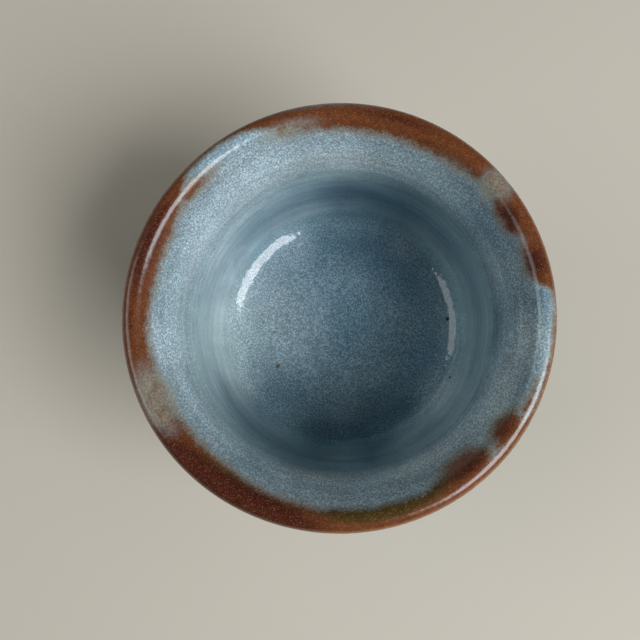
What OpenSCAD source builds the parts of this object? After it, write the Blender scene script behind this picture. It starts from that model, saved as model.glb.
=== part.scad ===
// Guinomi, a small thrown stoneware sake cup with a flared, iron-brown lip.
// Every piece is a turned form on the Z axis. Z = 0 is the table, lengths are in millimetres.

/* [Overall] */
// Outer diameter of the finished rim
rim_d = 56; // [52:0.5:64]
// Height of the cup from the table to the crest of the lip
cup_h = 36; // [32:0.5:46]

/* [Inside] */
// Reach of the flare, from the steep wall out to the level of the crest
flare_w = 4.3; // [3.8:0.1:6.5]
// Thickness of the floor, from the top of the foot ring to the inner floor
floor_t = 5; // [4:0.25:7]
// Radius of the corner between the floor and the wall
corner_r = 7; // [4:0.25:9]
// How far the middle of the floor lies below its edge
floor_dish = 0.4; // [0.05:0.05:0.5]
// Rounding where the steep wall turns into the flare
shoulder_r = 13; // [6:0.5:15]

/* [Lip] */
// Slope of the inner flare in degrees from level
flare_angle = 51; // [44:1:60]
// Rounding of the lip on its inner side
lip_in_r = 1.7; // [1:0.1:2]
// Rounding of the lip on its outer side
lip_out_r = 1.5; // [0.8:0.05:1.8]
// Drop of the lip's straight outer edge below the crest
lip_edge_h = 2.3; // [2:0.1:4]
// Rounding under the lip's outer edge
lip_under_r = 1.6; // [1:0.1:3]

/* [Outside] */
// Thickness of the wall at the belly
wall_t = 3.3; // [2.6:0.1:4.5]
// Depth below the crest at which the neck meets the belly
neck_drop = 9; // [7:0.25:12]
// Rounding of the neck under the lip
neck_r = 9; // [4:0.5:14]
// Slope of the lower body in degrees from level
hip_angle = 40; // [32:1:48]
// Rounding between the belly and the lower body
hip_r = 9; // [5:0.5:14]

/* [Foot] */
// How far the top of the foot ring stands in from the belly
foot_inset = 7.7; // [5:0.1:10]
// Height of the foot ring
foot_h = 4; // [3:0.25:6]
// Width of the foot ring where it joins the body
foot_w = 3.2; // [2.4:0.1:5]
// How much each side of the foot ring leans in towards the table
foot_taper = 0.3; // [0.1:0.05:0.6]
// Rounding of the foot ring's edges
foot_edge_r = 0.6; // [0.3:0.05:0.9]
// Rise of the hollow's ceiling in the middle of the foot
hollow_rise = 0.5; // [0.1:0.1:1.5]

/* [Glaze] */
// Thickness of the glaze coats on the wall
glaze_t = 0.45; // [0.3:0.05:0.7]
// Extra glaze that pooled on the floor
pool_t = 0.25; // [0:0.05:0.5]
// Glaze that ran off the lip in firing
run_off_t = 0.15; // [0:0.05:0.25]
// Extra thickness of the rolled edge of the outer glaze
bead_t = 0.45; // [0.1:0.05:0.8]
// Length of the rolled edge, up the wall
bead_w = 1.7; // [1:0.1:3]
// Height of the outer glaze's lower edge above the foot ring
glaze_line_h = 2.6; // [1:0.1:5]
// Width of the rust band inside the crest of the lip
band_in_w = 1.7; // [1.4:0.05:3]
// Depth of the rust band outside, below the crest of the lip
band_out_h = 3.4; // [2.6:0.1:5]

/* [Throwing rings] */
// Height of the throwing rings on the inner wall
ring_in_t = 0.04; // [0:0.01:0.1]
// Spacing of the throwing rings on the inner wall
ring_in_pitch = 2.7; // [2:0.1:5]
// Height of the throwing rings on the outside
ring_out_t = 0.09; // [0:0.01:0.2]
// Spacing of the throwing rings on the outside
ring_out_pitch = 4.2; // [3:0.1:7]

/* [Hidden] */
$fn = 180;
// Longest step between two points of an outline
step_w = 0.75;
// Turn between two points of a rounding, in degrees
step_turn = 9;
// Points closer together than this are one point
least_gap = 0.02;
// Share of a step below which a point is dropped beside the end of a coat
least_share = 0.1;
// Share of the floor's radius that its flat middle takes
floor_middle_share = 0.5;
// Share of the belly's height over which the outer rings fade in and out
ring_fade_share = 0.15;

rim_r = rim_d / 2;
floor_z = foot_h + floor_t;
crest_r = rim_r - lip_out_r;
// Radius at which the flare's slope would meet the level of the crest
flare_r = crest_r - lip_in_r * tan(flare_angle / 2);
well_r = flare_r - flare_w;
belly_r = well_r + wall_t;
foot_r = belly_r - foot_inset;
// Height at which the flare's slope would meet the steep wall
shoulder_z = cup_h - flare_w * tan(flare_angle);
// Radius at which the outline reaches the foot, so that the clay under the glaze ends at foot_r
hip_foot_r = foot_r + glaze_t / sin(hip_angle);
hip_z = foot_h + (belly_r - hip_foot_r) * tan(hip_angle);
glaze_line_z = foot_h + glaze_line_h;

// Corners of the finished outline, from the axis over the lip to the foot: radius, height, rounding
corners = [
    [0, floor_z - floor_dish, 0],
    [well_r * floor_middle_share, floor_z - floor_dish, well_r],
    [well_r, floor_z, corner_r],
    [well_r, shoulder_z, shoulder_r],
    [flare_r, cup_h, lip_in_r],
    [rim_r, cup_h, lip_out_r],
    [rim_r, cup_h - lip_edge_h, lip_under_r],
    [belly_r, cup_h - neck_drop, neck_r],
    [belly_r, hip_z, hip_r],
    [hip_foot_r, foot_h, 0]
];

function unit(v) = v / norm(v);
function flat(p) = [p[0], p[1]];
// The side of a direction on which the air lies, walking from the axis over the lip to the foot
function air_side(v) = [-v[1], v[0]];
function smooth(x) = let (t = max(0, min(1, x))) t * t * (3 - 2 * t);
function leg(c, i) = flat(c[i + 1]) - flat(c[i]);

// Turn of an outline at a corner, positive to the air side
function turn(c, i) = let (a = unit(leg(c, i - 1)), b = unit(leg(c, i)))
    atan2(a[0] * b[1] - a[1] * b[0], a * b);
// Length of leg that a corner's rounding asks for, and what its two legs can give
function asked(c, i) = i <= 0 || i >= len(c) - 1 ? 0 : c[i][2] * tan(abs(turn(c, i)) / 2);
function leg_give(c, i) = let (both = asked(c, i) + asked(c, i + 1))
    both > norm(leg(c, i)) ? norm(leg(c, i)) / both : 1;
function given(c, i) = asked(c, i) * min(leg_give(c, i - 1), leg_give(c, i));

// Points of the rounding at a corner
function rounding(c, i) = let (
        bend = turn(c, i),
        r = given(c, i) / tan(abs(bend) / 2),
        a = unit(leg(c, i - 1)),
        side = sign(bend),
        start = flat(c[i]) - a * given(c, i),
        centre = start + air_side(a) * r * side,
        from = atan2(-air_side(a)[1] * side, -air_side(a)[0] * side),
        n = max(2, ceil(abs(bend) / step_turn), ceil(abs(bend) * PI / 180 * r / step_w)))
    [for (k = [0 : n]) centre + r * [cos(from + bend * k / n), sin(from + bend * k / n)]];
function corner_points(c, i) = i == 0 || i == len(c) - 1 || given(c, i) < least_gap
    ? [flat(c[i])] : rounding(c, i);

// Points on the way from a to b, without either
function between(a, b) = let (n = ceil(norm(b - a) / step_w))
    [for (k = [1 : 1 : n - 1]) a + (b - a) * k / n];
function last(list) = list[len(list) - 1];
// Points of an outline, whose straight legs have points from the given corner on
function outline(c, stepped_from) = [for (i = [0 : len(c) - 1])
    each concat(corner_points(c, i), i >= stepped_from && i < len(c) - 1
        ? between(last(corner_points(c, i)), corner_points(c, i + 1)[0]) : [])];
function spread(list) = [for (i = [0 : len(list) - 1])
    if (i == 0 || norm(list[i] - list[i - 1]) > least_gap) list[i]];

path = spread(outline(corners, 1));
count = len(path);
// Normal of the finished outline at each point, upright on the axis
normals = [for (i = [0 : count - 1])
    i == 0 ? [0, 1] : unit(air_side(path[min(i + 1, count - 1)] - path[i - 1]))];
top_z = max([for (p = path) p[1]]);
// Number of the point at the crest of the lip
crest = [for (i = [0 : count - 1]) if (path[i][1] == top_z) i][0];

// Throwing rings, which fade out towards the corner and the shoulder, the hip and the neck
function fade(z, low, high, w) = smooth((z - low) / w) * smooth((high - z) / w);
function ring(i) = let (z = path[i][1])
    i < crest
        ? ring_in_t * sin(360 * z / ring_in_pitch)
            * fade(z, floor_z + floor_dish, shoulder_z, corner_r)
        : ring_out_t * sin(360 * z / ring_out_pitch)
            * fade(z, hip_z, cup_h - lip_edge_h, (cup_h - hip_z) * ring_fade_share);

// Thickness of the glaze under the finished outline: pooled on the floor, run off the lip
function coat_t(i) = let (p = path[i])
    glaze_t
        + (i < crest ? pool_t * (1 - smooth((p[1] - floor_z) / corner_r)) : 0)
        - run_off_t * smooth((p[1] - (cup_h - lip_edge_h)) / lip_edge_h);
// Glaze that stands out in the rolled edge
function bead(i) = i < crest ? 0
    : bead_t * smooth(1 - (path[i][1] - glaze_line_z) / (2 * bead_w * sin(hip_angle)));

finished = [for (i = [0 : count - 1]) path[i] + normals[i] * ring(i)];
coat_top = [for (i = [0 : count - 1]) finished[i] + normals[i] * bead(i)];
clay = [for (i = [0 : count - 1]) finished[i] - normals[i] * coat_t(i)];

// Part of an outline from one position to another, where a position may lie between two points
function at(list, s) = let (i = floor(s), t = s - i)
    t == 0 ? list[i] : list[i] * (1 - t) + list[i + 1] * t;
function stretch(list, from, to) = concat([at(list, from)],
    [for (i = [floor(from) + 1 : 1 : ceil(to) - 1])
        if (i - from > least_share && to - i > least_share) list[i]],
    [at(list, to)]);
function reversed(list) = [for (i = [len(list) - 1 : -1 : 0]) list[i]];
function crossing(i, k, level) = i + (level - path[i][k]) / (path[i + 1][k] - path[i][k]);

// Positions on the outline of the rust band's two edges and of the outer glaze's lower edge
band_in_at = [for (i = [0 : crest]) if (path[i][1] > shoulder_z
    && path[i][0] < crest_r - band_in_w && path[i + 1][0] >= crest_r - band_in_w)
    crossing(i, 0, crest_r - band_in_w)][0];
function falls_past(z) = [for (i = [crest : count - 2])
    if (path[i][1] > z && path[i + 1][1] <= z) crossing(i, 1, z)][0];
band_out_at = falls_past(cup_h - band_out_h);
glaze_end_at = falls_past(glaze_line_z);
bead_from = last([for (i = [crest : floor(glaze_end_at)])
    if (norm(path[i] - at(path, glaze_end_at)) > bead_w / 2) i]);

// Round end of the outer glaze, from its full thickness down to the clay
bead_steps = 8;
bead_end = [for (k = [1 : bead_steps - 1]) let (a = 90 * k / bead_steps)
    clay[bead_from] * (1 - sin(a)) + at(clay, glaze_end_at) * sin(a)
        + (coat_top[bead_from] - clay[bead_from]) * cos(a)];

// Outline of the foot ring, walked down its outer side and up its inner side
foot_corners = [
    [foot_r, foot_h, 0],
    [foot_r - foot_taper, 0, foot_edge_r],
    [foot_r - foot_w + foot_taper, 0, foot_edge_r],
    [foot_r - foot_w, foot_h, 0]
];
// Outline of the clay's underside, level where it sits on the foot ring and domed inside it
hollow_r = foot_r - foot_w;
hollow_steps = 8;
underside = concat([[foot_r, foot_h]],
    [for (k = [0 : hollow_steps]) [hollow_r * cos(90 * k / hollow_steps),
        foot_h + hollow_rise * sin(90 * k / hollow_steps)]]);

// Section of a glaze coat between two positions
function coat(from, to) = concat(stretch(coat_top, from, to), reversed(stretch(clay, from, to)));

module turned(points) {
    rotate_extrude() polygon(points);
}

module clay_body() {
    color("#8d6a4f") turned(concat(clay, underside));
}

module foot_ring() {
    color("#7d5b43") turned(outline(foot_corners, len(foot_corners)));
}

module inner_glaze() {
    color("#8199a6") turned(coat(0, band_in_at));
}

module lip_glaze() {
    color("#6a3c26") turned(coat(band_in_at, band_out_at));
}

module outer_glaze() {
    color("#74909e") turned(concat(stretch(coat_top, band_out_at, bead_from), bead_end,
        reversed(stretch(clay, band_out_at, glaze_end_at))));
}

clay_body();
foot_ring();
inner_glaze();
lip_glaze();
outer_glaze();
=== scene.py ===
import math

import bpy
import numpy as np
from mathutils import Matrix, Vector


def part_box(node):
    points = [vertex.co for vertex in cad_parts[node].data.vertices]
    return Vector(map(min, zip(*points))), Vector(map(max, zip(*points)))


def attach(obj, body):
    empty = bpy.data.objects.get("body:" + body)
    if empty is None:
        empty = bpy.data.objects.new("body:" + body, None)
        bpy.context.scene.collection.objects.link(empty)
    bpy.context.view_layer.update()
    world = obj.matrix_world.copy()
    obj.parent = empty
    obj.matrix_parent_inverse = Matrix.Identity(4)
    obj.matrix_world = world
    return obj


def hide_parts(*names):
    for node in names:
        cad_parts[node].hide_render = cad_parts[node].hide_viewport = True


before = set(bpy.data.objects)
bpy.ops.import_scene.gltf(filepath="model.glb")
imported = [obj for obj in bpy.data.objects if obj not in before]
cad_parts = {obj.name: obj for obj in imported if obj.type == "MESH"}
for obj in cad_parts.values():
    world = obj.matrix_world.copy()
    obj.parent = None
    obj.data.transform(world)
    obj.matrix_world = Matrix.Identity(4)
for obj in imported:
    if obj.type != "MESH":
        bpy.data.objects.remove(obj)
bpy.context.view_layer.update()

# Small helpers

MM = 0.001
TURN = 2 * math.pi


def smooth(t):
    """0 to 1 with soft ends."""
    t = np.clip(t, 0, 1)
    return t * t * (3 - 2 * t)


def srgb(code):
    """A hex colour as Blender's linear colour."""
    parts = [int(code[i:i + 2], 16) / 255 for i in (1, 3, 5)]
    return [c / 12.92 if c <= 0.04045 else ((c + 0.055) / 1.055) ** 2.4 for c in parts] + [1]


# The cup's turned form, in millimetres

RIM_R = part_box("lip_glaze")[1].x / MM
CUP_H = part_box("lip_glaze")[1].z / MM
FOOT_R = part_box("foot_ring")[1].x / MM
FOOT_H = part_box("foot_ring")[1].z / MM
FLOOR_T = 5.0                      # from the foot ring's top to the floor's edge
FLOOR_DISH = 0.4                   # how much lower the floor's middle lies
CORNER_R = 6.4                     # rounding between floor and wall
FLARE_W = 4.3                      # how far the flare reaches out from the wall
FLARE_SLOPE = math.radians(51)     # of the flare above level
SHOULDER_R = 13.0                  # rounding between wall and flare
LIP_IN_R = 1.7                     # rounding of the lip's inner edge
LIP_OUT_R = 1.5                    # rounding of its outer edge
LIP_EDGE_H = 2.3                   # height of its outer edge
LIP_UNDER_R = 1.6                  # rounding under it
WALL_T = 3.3                       # clay and both coats together
NECK_DROP = 9.0                    # from the rim down to the neck's corner
NECK_R = 9.0                       # rounding of the neck
HIP_SLOPE = math.radians(40)       # of the lower body above level
HIP_R = 9.0                        # rounding between belly and lower body
GLAZE_T = 0.45                     # thickness of a coat
POOL_T = 0.25                      # what the floor's coat has more, where the glaze pooled
RUN_OFF_T = 0.15                   # what the lip's coat has less, where it ran off
BEAD_T = 0.45                      # how far the outer coat's rolled edge stands out
BEAD_W = 1.7                       # width of the rolled edge
GLAZE_LINE_H = 2.6                 # from the foot ring's top to the end of the outer coat
BAND_IN_W = 1.7                    # from the lip's crest in to the end of its coat
BAND_OUT_H = 3.4                   # from the rim down to the other end of its coat
FOOT_W = 3.2                       # width of the foot ring at its top
FOOT_TAPER = 0.3                   # how much each side of it comes in at the bottom
FOOT_EDGE_R = 0.6                  # rounding of its lower edges
HOLLOW_RISE = 0.5                  # of the dome inside the foot ring

FLOOR_Z = FOOT_H + FLOOR_T
CREST_R = RIM_R - LIP_OUT_R
FLARE_R = CREST_R - LIP_IN_R * math.tan(FLARE_SLOPE / 2)
WELL_R = FLARE_R - FLARE_W
BELLY_R = WELL_R + WALL_T
SHOULDER_Z = CUP_H - FLARE_W * math.tan(FLARE_SLOPE)
HIP_FOOT_R = FOOT_R + GLAZE_T / math.sin(HIP_SLOPE)
HIP_Z = FOOT_H + (BELLY_R - HIP_FOOT_R) * math.tan(HIP_SLOPE)
GLAZE_LINE_Z = FOOT_H + GLAZE_LINE_H
HOLLOW_R = FOOT_R - FOOT_W

STEP = 0.3                         # between two points of a section
ARC_STEPS = 6                      # fewest straight bits in a rounding
BEAD_STEPS = 8                     # straight bits in the rolled edge's quarter round
DOME_STEPS = 13                    # straight bits in half of the dome
TURNS = 240                        # sides of a turned piece
MERGE_GAP = 0.004                  # points nearer than this become one
THIN_FACE = 0.002                  # faces thinner than this are dissolved
SMOOTH_ANGLE = math.radians(35)    # edges that turn by less are smooth


def rounded(corners):
    """Points of an outline with its corners rounded, from (radius, height, rounding) corners."""
    points = [Vector(corners[0][:2])]
    for before, corner, after in zip(corners, corners[1:], corners[2:]):
        here, r = Vector(corner[:2]), corner[2]
        a = (here - Vector(before[:2])).normalized()
        b = (Vector(after[:2]) - here).normalized()
        bend = math.atan2(a.x * b.y - a.y * b.x, a.dot(b))
        inward = Vector((-a.y, a.x)) * math.copysign(1, bend)
        start = here - a * r * math.tan(abs(bend) / 2)
        centre = start + inward * r
        count = max(ARC_STEPS, math.ceil(abs(bend) * r / STEP))
        arc = [centre + Matrix.Rotation(bend * k / count, 2) @ (start - centre) for k in range(count + 1)]
        points += straight(points[-1], arc[0]) + arc
    return points + straight(points[-1], Vector(corners[-1][:2])) + [Vector(corners[-1][:2])]


def straight(a, b):
    """Points on the way from a to b, without either."""
    count = max(1, math.ceil((b - a).length / STEP))
    return [a.lerp(b, k / count) for k in range(1, count)]


# The finished outline, from the axis over floor, wall and lip to the foot
outline = rounded([
    (0, FLOOR_Z - FLOOR_DISH, 0),
    (WELL_R / 2, FLOOR_Z - FLOOR_DISH, WELL_R),
    (WELL_R, FLOOR_Z, CORNER_R),
    (WELL_R, SHOULDER_Z, SHOULDER_R),
    (FLARE_R, CUP_H, LIP_IN_R),
    (RIM_R, CUP_H, LIP_OUT_R),
    (RIM_R, CUP_H - LIP_EDGE_H, LIP_UNDER_R),
    (BELLY_R, CUP_H - NECK_DROP, NECK_R),
    (BELLY_R, HIP_Z, HIP_R),
    (HIP_FOOT_R, FOOT_H, 0),
])
path = np.array([p for i, p in enumerate(outline) if i == 0 or (p - outline[i - 1]).length > STEP / 20])
along = np.concatenate([[0], np.cumsum(np.hypot(*np.diff(path, axis=0).T))])
tangent = np.gradient(path, along, axis=0)
normal = np.stack([-tangent[:, 1], tangent[:, 0]], 1)
normal /= np.hypot(*normal.T)[:, None]
normal[0] = (0, 1)
crest = int(np.argmax(path[:, 1]))
CREST_AT = along[crest]
outside = along > CREST_AT

# Glaze pooled on the floor, ran off the lip, and stands out in a bead above the bare clay
coat_t = GLAZE_T - RUN_OFF_T * smooth((path[:, 1] - CUP_H + LIP_EDGE_H) / LIP_EDGE_H)
coat_t += np.where(outside, 0, POOL_T * (1 - smooth((path[:, 1] - FLOOR_Z) / CORNER_R)))
bead_reach = 2 * BEAD_W * math.sin(HIP_SLOPE)
bead_t = np.where(outside, BEAD_T * smooth(1 - (path[:, 1] - GLAZE_LINE_Z) / bead_reach), 0)
clay = path - normal * coat_t[:, None]
coat_top = path + normal * bead_t[:, None]


def at(curve, s):
    """Point of a curve at a length along the finished outline."""
    return np.array([np.interp(s, along, curve[:, 0]), np.interp(s, along, curve[:, 1])])


def reached(side, column, level):
    """Length along the outline at which it first reaches a radius or a height, on one side of the crest."""
    part = np.flatnonzero(side)
    values = path[part, column] - level
    i = part[np.flatnonzero(np.diff(np.sign(values)))[0]]
    share = (level - path[i, column]) / (path[i + 1, column] - path[i, column])
    return along[i] + share * (along[i + 1] - along[i])


BAND_IN_AT = reached(~outside & (path[:, 1] > SHOULDER_Z), 0, CREST_R - BAND_IN_W)
BAND_OUT_AT = reached(outside, 1, CUP_H - BAND_OUT_H)
GLAZE_END_AT = reached(outside, 1, GLAZE_LINE_Z)


def stretch(curve, start, end):
    """Points of a curve between two lengths along the outline."""
    inner = along[(along > start + STEP / 4) & (along < end - STEP / 4)]
    return [at(curve, s) for s in (start, *inner, end)]


def coat_section(start, end):
    """Closed section of a glaze coat between two lengths along the outline."""
    return stretch(coat_top, start, end) + stretch(clay, start, end)[::-1]


# The rolled edge of the outer coat is a quarter round down to the clay
bead_at = GLAZE_END_AT - BEAD_W / 2
bead_foot, bead_root, bead_top = at(clay, GLAZE_END_AT), at(clay, bead_at), at(coat_top, bead_at)
quarter = np.linspace(0, math.pi / 2, BEAD_STEPS + 1)[1:-1]
bead = [bead_root * (1 - math.sin(a)) + bead_foot * math.sin(a) + (bead_top - bead_root) * math.cos(a)
        for a in quarter]
outer_skin = stretch(coat_top, BAND_OUT_AT, bead_at)
outer_section = outer_skin + bead + stretch(clay, BAND_OUT_AT, GLAZE_END_AT)[::-1]

# The clay below the coats, with the domed hollow inside the foot ring
dome = np.linspace(0, math.pi / 2, DOME_STEPS + 1)
underside = [(FOOT_R, FOOT_H)] + [(HOLLOW_R * math.cos(a), FOOT_H + HOLLOW_RISE * math.sin(a)) for a in dome]
clay_section = list(clay) + underside

foot_section = rounded([
    (FOOT_R, FOOT_H, 0),
    (FOOT_R - FOOT_TAPER, 0, FOOT_EDGE_R),
    (HOLLOW_R + FOOT_TAPER, 0, FOOT_EDGE_R),
    (HOLLOW_R, FOOT_H, 0),
])


# Turning and hand-made unevenness

def turned(name, section):
    """A piece spun round the axis from a closed section, in millimetres until it is finished."""
    bpy.ops.object.select_all(action="DESELECT")
    bpy.ops.mesh.primitive_circle_add(vertices=len(section), radius=RIM_R, fill_type="NOTHING")
    piece = bpy.context.object
    piece.name = piece.data.name = name
    for vertex, (r, z) in zip(piece.data.vertices, section):
        vertex.co = (max(r, 0), 0, z)
    bpy.ops.object.mode_set(mode="EDIT")
    bpy.ops.mesh.select_all(action="SELECT")
    bpy.ops.mesh.spin(steps=TURNS, angle=TURN, center=(0, 0, 0), axis=(0, 0, 1))
    bpy.ops.mesh.select_all(action="SELECT")
    bpy.ops.mesh.remove_doubles(threshold=MERGE_GAP)
    bpy.ops.mesh.dissolve_degenerate(threshold=THIN_FACE)
    bpy.ops.mesh.select_all(action="SELECT")
    bpy.ops.mesh.normals_make_consistent(inside=False)
    bpy.ops.object.mode_set(mode="OBJECT")
    return piece


def points_of(piece):
    """A piece's points, one row each."""
    co = np.empty(len(piece.data.vertices) * 3, np.float32)
    piece.data.vertices.foreach_get("co", co)
    return co.reshape(-1, 3).astype(float)


def set_points(piece, co):
    """Moves a piece's points to the rows given."""
    piece.data.vertices.foreach_set("co", co.astype(np.float32).ravel())
    piece.data.update()


def polar(co):
    """Radius and angle of each point, seen from above."""
    return np.hypot(co[:, 0], co[:, 1]), np.arctan2(co[:, 1], co[:, 0])


RING_IN_T, RING_IN_PITCH = 0.012, 2.7      # throwing rings inside, how deep and how far apart
RING_OUT_T, RING_OUT_PITCH = 0.09, 4.2     # and outside
RING_FADE_SHARE = 0.15                     # of the belly's height, over which the outer rings fade
OVAL = 0.006                               # share by which the rim is narrower in Y than in X
LIP_DIP, DIP_PHASE = 0.22, 2.2             # how far the lip dips at its two low places, and where
FLOOR_ASIDE = 0.5                          # how far the floor lies off the axis, towards +X
SWAY, SWAY_PHASE = 0.0016, 0.7             # slow unevenness with three swells, as a share of the radius


def fade(z, low, high, width):
    """1 between two heights, falling softly to 0 at both."""
    return smooth((z - low) / width) * smooth((high - z) / width)


def thrown(piece):
    """Moves a turned piece's points as throwing leaves them: spiral rings, an oval and a swaying lip."""
    co = points_of(piece)
    r, angle = polar(co)
    z = co[:, 2]
    height = smooth(z / CUP_H)
    ring_in = RING_IN_T * np.sin(TURN * z / RING_IN_PITCH - angle) * fade(z, FLOOR_Z, SHOULDER_Z, CORNER_R)
    ring_out = RING_OUT_T * np.sin(TURN * z / RING_OUT_PITCH - angle)
    ring_out *= fade(z, HIP_Z, CUP_H - LIP_EDGE_H, RING_FADE_SHARE * (CUP_H - HIP_Z))
    r_new = r + np.where(r < WELL_R + WALL_T / 2, ring_in, ring_out) * (r > WELL_R / 2)
    r_new *= 1 - SWAY * height * (1 + np.sin(3 * angle + SWAY_PHASE))
    z_new = z - LIP_DIP * height ** 2 * (0.5 + 0.5 * np.sin(2 * angle + DIP_PHASE))
    aside = FLOOR_ASIDE * fade(z, 0, SHOULDER_Z, FLOOR_Z)
    co = np.stack([r_new * np.cos(angle) + aside, r_new * np.sin(angle) * (1 - OVAL * height), z_new], 1)
    set_points(piece, co)


LINE_WAVES = ((2, 0.75, 0.6), (5, 0.4, 2.0), (9, 0.22, 4.1))    # waves round, millimetres, phase
LINE_REACH = 9.0                                                # height over which the coat slides


def slid(piece):
    """Slides the lower end of the outer coat up and down the clay, as a dipped edge runs."""
    co = points_of(piece)
    r, angle = polar(co)
    wave = sum(t * np.sin(n * angle + phase) for n, t, phase in LINE_WAVES)
    move = wave * smooth(1 - (co[:, 2] - GLAZE_LINE_Z) / LINE_REACH)
    low = clay[outside][::-1]
    base = np.interp(co[:, 2], low[:, 1], low[:, 0])
    co[:, 2] += move
    r_new = r + np.interp(co[:, 2], low[:, 1], low[:, 0]) - base
    co[:, 0], co[:, 1] = r_new * np.cos(angle), r_new * np.sin(angle)
    set_points(piece, co)


GLAZE_LAYERS = ("place", "rust_depth", "maroon", "veil", "olive", "ochre", "pooled", "darker_blue", "shoulder_reflection")


def measured(piece, name, values):
    """Keeps a value for each point of a piece, for its glaze to read."""
    layer = piece.data.attributes.new(name, "FLOAT", "POINT")
    layer.data.foreach_set("value", values.astype(np.float32))


def place_on_outline(co):
    """Length along the finished outline of the spot nearest to each point."""
    r, z = np.hypot(co[:, 0], co[:, 1]), co[:, 2]
    keys, back = np.unique(np.round(np.stack([r, z], 1), 2), axis=0, return_inverse=True)
    gap = (keys[:, None, 0] - path[None, :, 0]) ** 2 + (keys[:, None, 1] - path[None, :, 1]) ** 2
    return along[np.argmin(gap, axis=1)][back.ravel()]


# The rust band, painted round the lip from the tables below. Angles are in degrees from +X to +Y.
# A place across the band is a radius seen from above, and past the rim's edge the depth below it is added.

BAND_INNER = (        # angle, where the rust begins
    (0, 27.4), (5, 27.2), (8, 25.2), (12, 24.8), (18, 24.9), (22, 25.2), (25, 24.3), (29, 24.2), (33, 24.3),
    (36, 25.0), (39, 25.4), (43, 24.9), (50, 24.5), (60, 24.4), (76, 24.3), (88, 24.4), (98, 24.5),
    (107, 24.8), (112, 26.0), (117, 26.7), (122, 27.0), (136, 26.8), (142, 25.7), (146, 24.7), (155, 24.2),
    (170, 24.2), (182, 24.55), (192, 24.55), (205, 24.3), (213, 24.3), (225, 24.2), (240, 24.25),
    (256, 24.7), (275, 25.0), (288, 25.1), (298, 25.3), (306, 26.3), (327, 26.6), (332, 27.1), (357, 27.2),
    (360, 27.4))
BAND_OUTER = (        # angle, where the rust ends
    (0, 29.0), (30, 30.6), (60, 31.0), (100, 30.2), (120, 29.3), (140, 29.7), (170, 31.2), (200, 30.2),
    (225, 31.4), (250, 30.8), (280, 30.0), (300, 29.6), (320, 30.3), (340, 29.3), (360, 29.0))
RUST_SPOTS = (        # angle, radius, half length in degrees, half width in millimetres
    (139, 25.1, 8, 0.6), (301, 25.9, 5, 1.1), (308.5, 25.6, 9, 1.9), (324.5, 25.8, 6, 1.4),
    (333, 26.5, 6, 0.5))
MAROON_SPOTS = (      # as above, where the iron is thickest
    (13.5, 26.1, 5.5, 1.6), (28.5, 25.2, 5, 1.5), (72, 26.4, 20, 0.9), (160, 26.1, 22, 1.5),
    (182, 26.6, 14, 0.7), (240, 27.0, 32, 2.8), (309.5, 25.6, 8, 0.9), (324, 25.8, 5, 0.7))
VEILS = (             # as above, where floating blue lies thinly over the rust
    (38, 26.2, 6.5, 2.7), (104, 25.1, 14, 1.5), (206, 25.6, 14, 2.6), (20.5, 25.2, 3.5, 1.1),
    (318.5, 25.2, 2.5, 0.9), (2, 27.2, 6, 0.9), (94, 27.6, 24, 1.0), (136, 27.9, 14, 1.0),
    (49, 24.8, 12, 0.8))
OLIVE_SPOTS = (       # as above, where thin rust turns olive
    (284, 25.3, 24, 1.7), (212, 24.6, 10, 0.5), (238, 24.6, 16, 0.5))
OCHRE_EDGE = (        # angle, how orange the lip's outer edge is
    (0, 0.9), (9, 0.3), (34, 0.4), (42, 0.7), (60, 0.4), (100, 0.25), (130, 0.3), (150, 0.0), (190, 0.1),
    (205, 0.5), (220, 0.1), (255, 0.25), (268, 0.7), (285, 0.95), (357, 1.0), (360, 0.9))

# The same kinds of spots on the blue inside the cup

POOL_SPOTS = (        # where the glaze is paler and greener, partly pooled glaze and partly painted light on the lit side of the corner
    (190, 19.7, 32, 3.1),)
PAINTED_HIGHLIGHT_STREAKS = (      # painted highlights and painted light in streaks along the wall's throwing rings, each with a height in the place of the radius
    (142, 20.0, 28, 1.4), (352, 24.5, 26, 1.1), (190, 25.0, 34, 1.5))
DARKER_BLUE_SPOTS = (        # where the blue at the floor's edge is darker
    (270, 17.4, 34, 2.6), (304, 16.4, 28, 2.3))
SHOULDER_REFLECTION_SPOTS = (        # where a warm painted reflection greys the blue on the shoulder
    (88, 22.1, 32, 0.9), (262, 22.0, 24, 0.8), (300, 22.5, 22, 0.9), (332, 23.3, 20, 1.0))

# Width in millimetres over which each kind of spot comes in from its outline
MAROON_FADE, VEIL_FADE, OLIVE_FADE = 1.0, 1.5, 0.7
POOL_FADE, HIGHLIGHT_STREAK_FADE, DARKER_BLUE_FADE, SHOULDER_REFLECTION_FADE = 2.2, 1.0, 1.5, 0.9
HIGHLIGHT_STREAK_SHARE = 0.6    # how bright a painted highlight streak on the wall is beside a pool
OCHRE_FROM, OCHRE_FADE = 27.4, 0.6    # place across the band where the orange edge begins, and its width


def round_table(table, degrees):
    """Value at each angle, from a table of angles and values."""
    return np.interp(degrees, *np.array(table).T)


def depth_in_spots(spots, degrees, across):
    """Greatest depth in millimetres, from the edge inwards, in any of some oval spots."""
    depths = []
    for angle, radius, half_length, half_width in spots:
        turn_gap = (degrees - angle + 180) % 360 - 180
        depths.append(half_width * (1 - np.hypot(turn_gap / half_length, (across - radius) / half_width)))
    return np.max(depths, axis=0)


def spotted(spots, degrees, across, width):
    """0 to 1, coming in softly over a width from the outline of any of some oval spots."""
    return smooth(depth_in_spots(spots, degrees, across) / width)


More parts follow.
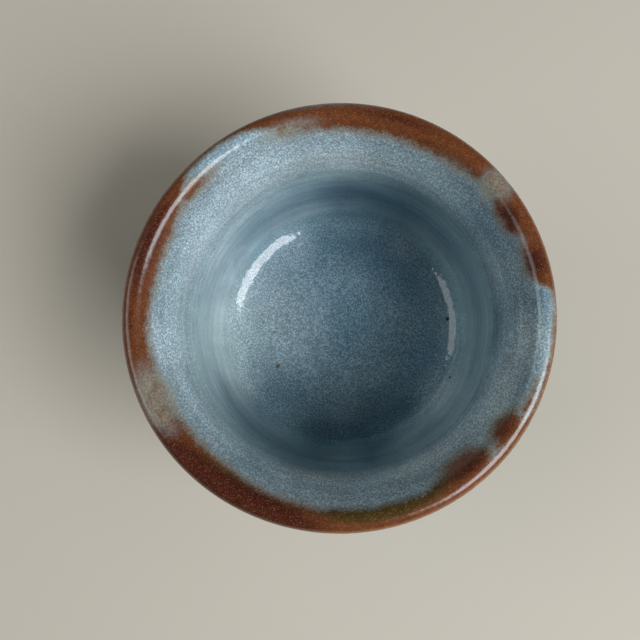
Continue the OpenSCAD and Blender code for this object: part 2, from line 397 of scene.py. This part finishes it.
def painted(piece):
    """Works out each point's place on the outline, its depth in the rust and the spots it is in."""
    co = points_of(piece)
    degrees = np.degrees(polar(co)[1]) % 360
    s = place_on_outline(co)
    radius = np.interp(s, along, path[:, 0])
    drop = CUP_H - LIP_OUT_R - np.interp(s, along, path[:, 1])
    across = np.where((s > CREST_AT) & (drop > 0), RIM_R + drop, radius)
    rust = np.minimum(across - round_table(BAND_INNER, degrees), round_table(BAND_OUTER, degrees) - across)
    measured(piece, "place", s / along[-1])
    measured(piece, "rust_depth", np.maximum(rust, depth_in_spots(RUST_SPOTS, degrees, across)))
    measured(piece, "maroon", spotted(MAROON_SPOTS, degrees, across, MAROON_FADE))
    measured(piece, "veil", spotted(VEILS, degrees, across, VEIL_FADE))
    measured(piece, "olive", spotted(OLIVE_SPOTS, degrees, across, OLIVE_FADE))
    height = np.interp(s, along, path[:, 1])
    inside = s < CREST_AT
    # Paler glaze on the corner, partly painted light, with painted highlight streaks on the wall
    pooled = spotted(POOL_SPOTS, degrees, across, POOL_FADE)
    streaks = HIGHLIGHT_STREAK_SHARE * spotted(PAINTED_HIGHLIGHT_STREAKS, degrees, height, HIGHLIGHT_STREAK_FADE)
    measured(piece, "pooled", np.maximum(pooled, streaks) * inside)
    # Darker blue at the floor's edge
    measured(piece, "darker_blue", spotted(DARKER_BLUE_SPOTS, degrees, across, DARKER_BLUE_FADE) * inside)
    # A grey painted reflection on the shoulder
    measured(piece, "shoulder_reflection", spotted(SHOULDER_REFLECTION_SPOTS, degrees, across, SHOULDER_REFLECTION_FADE) * inside)
    edge_ochre = smooth((across - OCHRE_FROM) / OCHRE_FADE)
    measured(piece, "ochre", round_table(OCHRE_EDGE, degrees) * edge_ochre)


def finished(piece, nodes, material):
    """Brings a piece to metres, smooths it and gives it its place in the frame."""
    set_points(piece, points_of(piece) * MM)
    bpy.ops.object.select_all(action="DESELECT")
    bpy.context.view_layer.objects.active = piece
    piece.select_set(True)
    bpy.ops.object.shade_smooth_by_angle(angle=SMOOTH_ANGLE)
    piece.data.materials.append(material)
    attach(piece, "root")
    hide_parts(*nodes)


# Materials

def node(tree, kind, inputs=None, stops=None, **settings):
    """Adds a shader node with its settings, its inputs as values or links, and a ramp's stops."""
    made = tree.nodes.new("ShaderNode" + kind)
    for name, value in settings.items():
        setattr(made, name, value)
    for name, value in (inputs or {}).items():
        if isinstance(value, bpy.types.Node):
            tree.links.new(value.outputs[0], made.inputs[name])
        elif isinstance(value, bpy.types.NodeSocket):
            tree.links.new(value, made.inputs[name])
        else:
            made.inputs[name].default_value = value
    for i, (position, tone) in enumerate(stops or ()):
        elements = made.color_ramp.elements
        if i == 0:
            elements.remove(elements[1])
            elements[0].position = position
        element = elements[0] if i == 0 else elements.new(position)
        element.color = srgb(tone) if isinstance(tone, str) else [tone] * 3 + [1]
    return made


def new_material(name):
    """A material, its nodes, its shader and Object coordinates in millimetres."""
    material = bpy.data.materials.new(name)
    material.use_nodes = True
    tree = material.node_tree
    coordinates = node(tree, "TexCoord").outputs["Object"]
    place = node(tree, "Mapping", {"Vector": coordinates, "Scale": (1 / MM,) * 3})
    return material, tree, tree.nodes["Principled BSDF"], place


# Blue of the glaze from the floor's middle over the corner, the steep wall and the flare to the outside.
# Each row has where it is (radius or height, and its value), the colour, and how strongly milky flecks show.
BLUE_GROUND = (
    ("radius", 0.0, "#67828f", 0.9),
    ("radius", 9.0, "#7d95a1", 0.9),
    ("radius", 14.0, "#6b8694", 0.9),
    ("radius", 17.8, "#728a95", 0.8),
    ("radius", 19.2, "#76929c", 0.5),
    ("radius", 20.3, "#8298a1", 0.2),
    ("height", 14.5, "#748b95", 0.2),
    ("height", 17.5, "#7a919c", 0.2),
    ("height", 21.0, "#869ea7", 0.25),
    ("height", 25.5, "#90a5a9", 0.45),
    ("height", 29.0, "#92a0a5", 0.65),
    ("height", 31.0, "#9aabb0", 0.8),
    ("radius", 24.0, "#839197", 0.9),
)
LIP_BLUE, OUTER_BLUE = "#819aa5", "#6f8896"
LIP_FLECKS, OUTER_FLECKS = 0.85, 0.7
SPOT_TONES = (        # kind of spot, colour, share of it that shows
    # Paler glaze, partly painted light, with painted highlight streaks
    ("pooled", "#a3b8b8", 0.7),
    # Darker blue at the floor's edge
    ("darker_blue", "#47697a", 0.75),
    # A grey painted reflection on the shoulder
    ("shoulder_reflection", "#a8a8a0", 0.5),
)
GLAZE_TONES_AND_PAINTED_LIGHT = (            # place in millimetres, reach, colour, share: patches of painted light and painted shade, partly the glaze's own milky and deep tones
    ((-14.5, 1.5, 9.0), 15.0, "#afbfc2", 0.9),
    ((-6.5, 0.0, 8.8), 10.0, "#8f9fa8", 0.45),
    ((5.5, 1.0, 8.8), 10.0, "#5f7d8f", 0.25),
    ((11.0, 9.0, 8.8), 9.0, "#516e7f", 0.6),
    ((7.0, 12.5, 8.8), 6.5, "#557284", 0.65),
    ((10.0, 17.0, 12.0), 6.5, "#54707e", 0.5),
    ((0.0, 19.5, 12.0), 5.5, "#5d7484", 0.4),
    ((-8.5, 13.5, 9.0), 6.5, "#a6b5bf", 0.65),
    ((-12.5, 7.5, 9.0), 6.0, "#adbac4", 0.5),
    ((0.0, -11.5, 8.8), 5.5, "#8ca2ae", 0.35),
    ((8.0, -12.5, 8.8), 6.0, "#49687c", 0.5),
    ((13.0, -6.0, 9.0), 8.0, "#537489", 0.5),
    ((6.0, -17.5, 9.5), 8.0, "#446377", 0.45),
    ((-16.5, -9.5, 10.6), 5.5, "#b5c3c4", 0.5),
    ((-18.4, -10.6, 14.8), 6.0, "#6b838e", 0.6),
    ((-20.5, -3.0, 16.0), 13.0, "#abbcbf", 0.55),
    ((-18.5, 10.5, 19.0), 9.0, "#b9c8cd", 0.5),
    ((5.5, 20.5, 15.0), 12.0, "#4d6a78", 0.8),
    ((0.0, 21.2, 18.0), 7.0, "#55687a", 0.7),
    ((10.5, 13.8, 9.8), 4.5, "#8b99a5", 0.4),
    ((10.5, 17.5, 23.0), 8.0, "#4f6978", 0.6),
    ((-3.5, -18.0, 10.8), 6.5, "#36586a", 0.6),
    ((4.5, -18.0, 10.8), 6.5, "#345669", 0.6),
    ((10.6, -18.4, 17.5), 8.0, "#9fb4b5", 0.6),
    ((0.0, -21.2, 17.5), 6.0, "#9db2b4", 0.6),
    ((16.5, -10.5, 12.5), 7.0, "#a8b8bc", 0.65),
    ((-12.0, 20.5, 30.0), 11.0, "#b8c6cc", 0.55),
    ((0.5, 21.5, 29.0), 7.5, "#b5c3ca", 0.5),
    ((-18.5, 11.0, 29.0), 7.5, "#b5c3ca", 0.5),
    ((-23.4, -4.5, 32.5), 6.5, "#b6c5cb", 0.5),
    ((-12.0, -21.0, 32.5), 6.5, "#6f838a", 0.5),
    ((22.3, -1.0, 30.3), 10.0, "#5b7482", 0.75),
    ((18.8, -10.8, 28.8), 5.5, "#5f7885", 0.4),
    ((20.5, 12.0, 33.0), 9.0, "#587080", 0.75),
    ((24.8, -4.0, 34.4), 6.0, "#adbcbd", 0.75),
    ((20.5, -13.0, 32.5), 7.5, "#a8b7b9", 0.65),
)
MARKS = (             # X and Y, width, colour: an iron speck on the floor, and a pit and a pinhole on its corner painted dark for the shade inside them
    ((-10.5, -6.2), 0.7, "#655a4a"),
    ((17.9, 1.6), 0.6, "#1c2226"),
    ((17.9, -8.1), 0.4, "#2a343a"),
)
MARK_FROM, MARK_FULL = 0.7, 0.3       # shares of its width, from a mark's middle, where it begins and is full

RUST, MAROON, FRINGE = "#67371b", "#44180c", "#6b5747"
OLIVE, OCHRE, TAN, HAZE = "#4a3814", "#8c5c26", "#a88058", "#939280"

# Widths of the glaze's patterns, in millimetres
FLECK_W = 0.25        # milky flecks
DRIFT_W = 4.0         # drifting patches, thicker and thinner
STREAK_SCALE = (0.06, 0.06, 1.0)      # streaks from the turning, long round the cup and 1 mm high
WANDER_W = 1.5        # bays in the rust band's edge
SPECK_W = 0.26        # specks into which the edge breaks up
EDGE_SWING = 0.9      # how far each of these two moves the edge, from end to end
TAN_FLECK_W = 0.18    # tan flecks on the rust
CLOUD_W = 0.6         # lighter and darker clouds on the rust
PEBBLE_W, PEBBLE_H = 0.8, 0.03        # pebbled skin
SWELL_W, SWELL_H = 3.2, 0.06          # slow swell of the skin

# Depths into the rust band, in millimetres, between which each comes in
COVER_FROM, COVER_FULL = -0.45, 0.4   # the rust itself
CORE_FROM, CORE_FULL = 0.0, 0.6       # its full colour, past the fringe
HALO_FROM, HALO_FULL = -0.6, 0.1      # the haze round it
MATT_FROM, MATT_FULL = -3.0, -0.3     # the lip's softer gloss

BLUE_ROUGHNESS, LIP_ROUGHNESS = 0.08, 0.23
GLAZE_IOR = 1.52


def floating_blue(tree, place, layers):
    """The blue alone: its ground, its spots and patches, partly painted light, shade and reflection, then
    drift, streaks and flecks.
    """
    levels = [reached(~outside, 0 if kind == "radius" else 1, value) / along[-1] if value else 0
              for kind, value, _, _ in BLUE_GROUND] + [CREST_AT / along[-1], 1]
    blues = [row[2] for row in BLUE_GROUND] + [LIP_BLUE, OUTER_BLUE]
    shares = [row[3] for row in BLUE_GROUND] + [LIP_FLECKS, OUTER_FLECKS]
    colour = node(tree, "ValToRGB", {"Fac": layers["place"]}, stops=zip(levels, blues))
    fleck_share = node(tree, "ValToRGB", {"Fac": layers["place"]}, stops=zip(levels, shares))
    for kind, tone, share in SPOT_TONES:
        part = node(tree, "Math", {0: layers[kind], 1: share}, operation="MULTIPLY")
        colour = node(tree, "MixRGB", {"Fac": part, "Color1": colour, "Color2": srgb(tone)})
    # Patches of painted light and painted shade, partly the glaze's own tone
    for spot, reach, tone, share in GLAZE_TONES_AND_PAINTED_LIGHT:
        gap = node(tree, "VectorMath", {0: place, 1: spot}, operation="DISTANCE").outputs["Value"]
        glaze_tone_and_light_share = node(tree, "MapRange", {"Value": gap, "From Min": reach, "From Max": 0.0, "To Max": share},
                     interpolation_type="SMOOTHSTEP")
        colour = node(tree, "MixRGB", {"Fac": glaze_tone_and_light_share, "Color1": colour, "Color2": srgb(tone)})

    flecks = node(tree, "TexNoise", {"Vector": place, "Scale": 1 / FLECK_W, "Detail": 2.0, "Roughness": 0.55})
    drift = node(tree, "TexNoise", {"Vector": place, "Scale": 1 / DRIFT_W, "Detail": 3.0, "Distortion": 0.6})
    turning = node(tree, "Mapping", {"Vector": place, "Scale": STREAK_SCALE})
    streaks = node(tree, "TexNoise", {"Vector": turning, "Scale": 1.0, "Detail": 2.0})
    fleck_tone = node(tree, "ValToRGB", {"Fac": flecks},
                      stops=[(0.34, "#86929a"), (0.5, "#b0b4b6"), (0.66, "#e8ebeb")])
    drift_tone = node(tree, "ValToRGB", {"Fac": drift}, stops=[(0.3, 0.45), (0.7, 0.55)])
    streak_tone = node(tree, "ValToRGB", {"Fac": streaks}, stops=[(0.35, 0.455), (0.65, 0.545)])
    for share, tone in ((1.0, drift_tone), (1.0, streak_tone), (fleck_share, fleck_tone)):
        colour = node(tree, "MixRGB", {"Fac": share, "Color1": colour, "Color2": tone}, blend_type="OVERLAY")
    return colour


def banded(tree, place, layers, blue):
    """The iron band over the blue. Its edge wanders by tenths of a millimetre and breaks up into specks."""
    wander = node(tree, "TexNoise", {"Vector": place, "Scale": 1 / WANDER_W, "Detail": 3.0, "Roughness": 0.6})
    specks = node(tree, "TexNoise", {"Vector": place, "Scale": 1 / SPECK_W, "Detail": 1.0})
    wandered = node(tree, "Math", {0: wander, 1: EDGE_SWING, 2: -EDGE_SWING / 2}, operation="MULTIPLY_ADD")
    speckled = node(tree, "Math", {0: specks, 1: EDGE_SWING, 2: -EDGE_SWING / 2}, operation="MULTIPLY_ADD")
    edge = node(tree, "Math", {0: wandered, 1: speckled}, operation="ADD")
    depth = node(tree, "Math", {0: layers["rust_depth"], 1: edge}, operation="ADD")
    cover = node(tree, "MapRange", {"Value": depth, "From Min": COVER_FROM, "From Max": COVER_FULL})
    core = node(tree, "MapRange", {"Value": depth, "From Min": CORE_FROM, "From Max": CORE_FULL})
    halo = node(tree, "MapRange",
                {"Value": depth, "From Min": HALO_FROM, "From Max": HALO_FULL, "To Max": 0.5})

    # A veil hides the rust in mottles and leaves a thin haze
    mottle = node(tree, "MapRange",
                  {"Value": edge, "From Min": -EDGE_SWING / 2, "From Max": EDGE_SWING / 2,
                   "To Min": 1.15, "To Max": 0.0})
    veiled = node(tree, "Math", {0: layers["veil"], 1: mottle}, operation="MULTIPLY")
    bare = node(tree, "Math", {0: 1.0, 1: veiled}, operation="SUBTRACT")
    shown = node(tree, "Math", {0: cover, 1: bare}, operation="MULTIPLY")
    thin_veil = node(tree, "Math", {0: layers["veil"], 1: 0.85}, operation="MULTIPLY")
    haze = node(tree, "Math", {0: halo, 1: thin_veil}, operation="MAXIMUM")
    hazed = node(tree, "MixRGB", {"Fac": haze, "Color1": blue, "Color2": srgb(HAZE)})

    rust = node(tree, "MixRGB", {"Fac": layers["maroon"], "Color1": srgb(RUST), "Color2": srgb(MAROON)})
    fringed = node(tree, "MixRGB", {"Fac": core, "Color1": srgb(FRINGE), "Color2": rust})
    olived = node(tree, "MixRGB", {"Fac": layers["olive"], "Color1": fringed, "Color2": srgb(OLIVE)})
    edged = node(tree, "MixRGB", {"Fac": layers["ochre"], "Color1": olived, "Color2": srgb(OCHRE)})
    tan_flecks = node(tree, "TexNoise", {"Vector": place, "Scale": 1 / TAN_FLECK_W, "Detail": 2.0})
    tan_share = node(tree, "ValToRGB", {"Fac": tan_flecks}, stops=[(0.52, 0.0), (0.78, 0.42)])
    flecked = node(tree, "MixRGB", {"Fac": tan_share, "Color1": edged, "Color2": srgb(TAN)})
    cloud = node(tree, "TexNoise", {"Vector": place, "Scale": 1 / CLOUD_W, "Detail": 3.0, "Roughness": 0.65})
    cloud_tone = node(tree, "ValToRGB", {"Fac": cloud}, stops=[(0.3, 0.34), (0.7, 0.63)])
    band = node(tree, "MixRGB", {"Fac": 0.8, "Color1": flecked, "Color2": cloud_tone}, blend_type="OVERLAY")
    return node(tree, "MixRGB", {"Fac": shown, "Color1": hazed, "Color2": band})


def poured_glaze(name):
    """Stoneware glaze, poured and dipped: rutile blue with floating milky flecks, and iron rust on the lip.
    The eye sees a deep glossy skin, flecked on the floor and the flare and smoother on the steep wall."""
    material, tree, shader, place = new_material(name)
    layers = {layer: node(tree, "Attribute", attribute_name=layer).outputs["Fac"] for layer in GLAZE_LAYERS}
    colour = banded(tree, place, layers, floating_blue(tree, place, layers))
    for (x, y), width, tone in MARKS:
        level = np.interp(math.hypot(x - FLOOR_ASIDE, y), path[~outside, 0], path[~outside, 1])
        gap = node(tree, "VectorMath", {0: place, 1: (x, y, level)}, operation="DISTANCE").outputs["Value"]
        mark = node(tree, "MapRange",
                    {"Value": gap, "From Min": MARK_FROM * width, "From Max": MARK_FULL * width})
        colour = node(tree, "MixRGB", {"Fac": mark, "Color1": colour, "Color2": srgb(tone)})
    tree.links.new(colour.outputs[0], shader.inputs["Base Color"])

    # The skin is slightly pebbled, which frays the lights' edges
    pebble = node(tree, "TexNoise", {"Vector": place, "Scale": 1 / PEBBLE_W, "Detail": 0.6})
    swell = node(tree, "TexNoise", {"Vector": place, "Scale": 1 / SWELL_W, "Detail": 1.0})
    pebbled = node(tree, "Math", {0: pebble, 1: PEBBLE_H}, operation="MULTIPLY")
    relief = node(tree, "Math", {0: swell, 1: SWELL_H, 2: pebbled}, operation="MULTIPLY_ADD")
    bump = node(tree, "Bump", {"Height": relief, "Distance": MM})
    tree.links.new(bump.outputs["Normal"], shader.inputs["Normal"])
    shine = node(tree, "MapRange",
                 {"Value": layers["rust_depth"], "From Min": MATT_FROM, "From Max": MATT_FULL,
                  "To Min": BLUE_ROUGHNESS, "To Max": LIP_ROUGHNESS})
    tree.links.new(shine.outputs[0], shader.inputs["Roughness"])
    shader.inputs["IOR"].default_value = GLAZE_IOR
    return material


# Patterns of the bare clay, widths and heights in millimetres
TOAST_W = 5.0         # lighter and darker toasting
SAND_W = 0.28         # sand in the clay
IRON_W = 0.5          # iron specks
GRIT_W, GRIT_H = 0.22, 0.05           # gritty surface
LINE_SCALE, LINE_H = (0.12, 0.12, 2.2), 0.08    # turning lines, long round the cup and about 0.45 mm high
CLAY_ROUGHNESS = 0.82


def toasted_stoneware(name, light, dark):
    """Bare stoneware, fired in a reducing kiln.
    The eye sees it dry, sandy and toasted brown, with iron specks and turning lines."""
    material, tree, shader, place = new_material(name)
    patches = node(tree, "TexNoise", {"Vector": place, "Scale": 1 / TOAST_W, "Detail": 4.0, "Roughness": 0.6})
    toast = node(tree, "ValToRGB", {"Fac": patches}, stops=[(0.3, dark), (0.7, light)])
    sand = node(tree, "TexNoise", {"Vector": place, "Scale": 1 / SAND_W, "Detail": 2.0, "Roughness": 0.6})
    sand_tone = node(tree, "ValToRGB", {"Fac": sand}, stops=[(0.3, 0.36), (0.7, 0.62)])
    body = node(tree, "MixRGB", {"Fac": 0.8, "Color1": toast, "Color2": sand_tone}, blend_type="OVERLAY")
    iron = node(tree, "TexNoise", {"Vector": place, "Scale": 1 / IRON_W, "Detail": 1.0, "Roughness": 0.4})
    iron_share = node(tree, "ValToRGB", {"Fac": iron}, stops=[(0.70, 0.0), (0.76, 0.8)])
    specked = node(tree, "MixRGB", {"Fac": iron_share, "Color1": body, "Color2": srgb("#2f1c14")})
    tree.links.new(specked.outputs[0], shader.inputs["Base Color"])
    shader.inputs["Roughness"].default_value = CLAY_ROUGHNESS
    grit = node(tree, "TexNoise", {"Vector": place, "Scale": 1 / GRIT_W, "Detail": 3.0, "Roughness": 0.6})
    stretched = node(tree, "Mapping", {"Vector": place, "Scale": LINE_SCALE})
    lines = node(tree, "TexNoise", {"Vector": stretched, "Scale": 1.0, "Detail": 2.0, "Roughness": 0.6})
    gritty = node(tree, "Math", {0: grit, 1: GRIT_H}, operation="MULTIPLY")
    relief = node(tree, "Math", {0: lines, 1: LINE_H, 2: gritty}, operation="MULTIPLY_ADD")
    bump = node(tree, "Bump", {"Height": relief, "Distance": MM})
    tree.links.new(bump.outputs["Normal"], shader.inputs["Normal"])
    return material


# The pieces

blue_glaze = poured_glaze("floating_blue_glaze")
body_clay = toasted_stoneware("toasted_stoneware", "#9a7150", "#6e4730")
foot_clay = toasted_stoneware("foot_stoneware", "#8a6447", "#5f3f2c")

for name, section, replaced in (
        ("inner_glaze_coat", coat_section(0, BAND_IN_AT), "inner_glaze"),
        ("lip_glaze_band", coat_section(BAND_IN_AT, BAND_OUT_AT), "lip_glaze"),
        ("outer_glaze_coat", outer_section, "outer_glaze")):
    coat = turned(name, section)
    painted(coat)
    if replaced == "outer_glaze":
        slid(coat)
    thrown(coat)
    finished(coat, [replaced], blue_glaze)

body = turned("thrown_clay_body", clay_section)
thrown(body)
finished(body, ["clay_body"], body_clay)

foot = turned("luted_foot_ring", foot_section)
thrown(foot)
finished(foot, ["foot_ring"], foot_clay)

# Table, light and camera

TABLE_SIZE = 1.0      # metres
bpy.ops.object.select_all(action="DESELECT")
bpy.ops.mesh.primitive_plane_add(size=TABLE_SIZE, location=(0, 0, 0))
table_top = bpy.context.object
table_top.name = table_top.data.name = "table_top"
table_paint, table_tree, table_shader, _ = new_material("matte_table_paint")
table_shader.inputs["Base Color"].default_value = srgb("#c6bfb1")
table_shader.inputs["Roughness"].default_value = 0.9
table_top.data.materials.append(table_paint)

LIGHT_FAR = 0.6       # metres from the rim's middle


def soft_box(name, azimuth, elevation, width, height, power, tone):
    """A rectangular lamp that faces the rim from an azimuth and an elevation in degrees.
    Its sizes are in metres and its power in watts."""
    lamp = bpy.data.lights.new(name, "AREA")
    lamp.color = srgb(tone)[:3]
    lamp.shape, lamp.size, lamp.size_y, lamp.energy = "RECTANGLE", width, height, power
    holder = bpy.data.objects.new(name, lamp)
    bpy.context.scene.collection.objects.link(holder)
    a, e = math.radians(azimuth), math.radians(elevation)
    towards = Vector((math.cos(a) * math.cos(e), math.sin(a) * math.cos(e), math.sin(e)))
    holder.location = towards * LIGHT_FAR + Vector((0, 0, CUP_H * MM))
    holder.rotation_euler = towards.to_track_quat("Z", "Y").to_euler()


soft_box("window_light", -32, 40.5, 0.43, 0.35, 4.3, "#f8fbff")
soft_box("room_light", 4, 48, 0.50, 0.30, 0.45, "#fbfdff")
soft_box("fill_light", 180, 36, 0.38, 0.28, 0.78, "#f7fcff")
soft_box("ceiling_light", 140, 52, 0.34, 0.34, 0.34, "#fff7ea")
# The room's walls and ceiling are too even to show as reflections
for name in ("room_light", "ceiling_light"):
    bpy.data.objects[name].visible_glossy = False

# The world is dim for the cup, and pale where the camera looks past the table
SKY_LIGHT = 0.03
SKY_SEEN = 0.6
SKY_MIRRORED = 0.1

sky = bpy.data.worlds.new("room")
bpy.context.scene.world = sky
sky.use_nodes = True
ray = node(sky.node_tree, "LightPath")
seen_through = node(sky.node_tree, "Math", {0: ray.outputs["Is Transmission Ray"], 1: SKY_SEEN},
                    operation="MULTIPLY")
mirrored = node(sky.node_tree, "Math", {0: ray.outputs["Is Glossy Ray"], 1: SKY_MIRRORED, 2: seen_through},
                operation="MULTIPLY_ADD")
seen = node(sky.node_tree, "Math", {0: ray.outputs["Is Camera Ray"], 1: SKY_SEEN, 2: mirrored},
            operation="MULTIPLY_ADD")
strength = node(sky.node_tree, "Math", {0: seen, 1: SKY_LIGHT}, operation="ADD")
backdrop = sky.node_tree.nodes["Background"]
backdrop.inputs["Color"].default_value = srgb("#dfe2e2")
sky.node_tree.links.new(strength.outputs[0], backdrop.inputs["Strength"])

# The camera looks almost straight down. The photo's middle and the point under the lens give its tilt.
PHOTO_MIDDLE_PX = (320, 320)
UNDER_LENS_PX = (354, 386)
FOCAL_PX = 641
PHOTO_W_PX = 640
SENSOR_W = 36.0       # millimetres
CAMERA_FROM_RIM = (2.27, -9.52, 81.92)     # millimetres from the rim's middle, where it is widest

tilt_x = PHOTO_MIDDLE_PX[0] - UNDER_LENS_PX[0]
tilt_y = UNDER_LENS_PX[1] - PHOTO_MIDDLE_PX[1]
up = Vector((tilt_x, tilt_y, FOCAL_PX)).normalized()
right = (Vector((1, 0, 0)) - up * up.x).normalized()
camera_data = bpy.data.cameras.new("camera")
camera_data.sensor_width = SENSOR_W
camera_data.lens = SENSOR_W * FOCAL_PX / PHOTO_W_PX
camera_data.clip_start = MM
camera = bpy.data.objects.new("camera", camera_data)
bpy.context.scene.collection.objects.link(camera)
turn_matrix = Matrix((right, up.cross(right), up)).to_4x4()
turn_matrix.translation = (Vector(CAMERA_FROM_RIM) + Vector((0, 0, CUP_H - LIP_OUT_R))) * MM
camera.matrix_world = turn_matrix
bpy.context.scene.camera = camera
bpy.context.scene.view_settings.view_transform = "Standard"
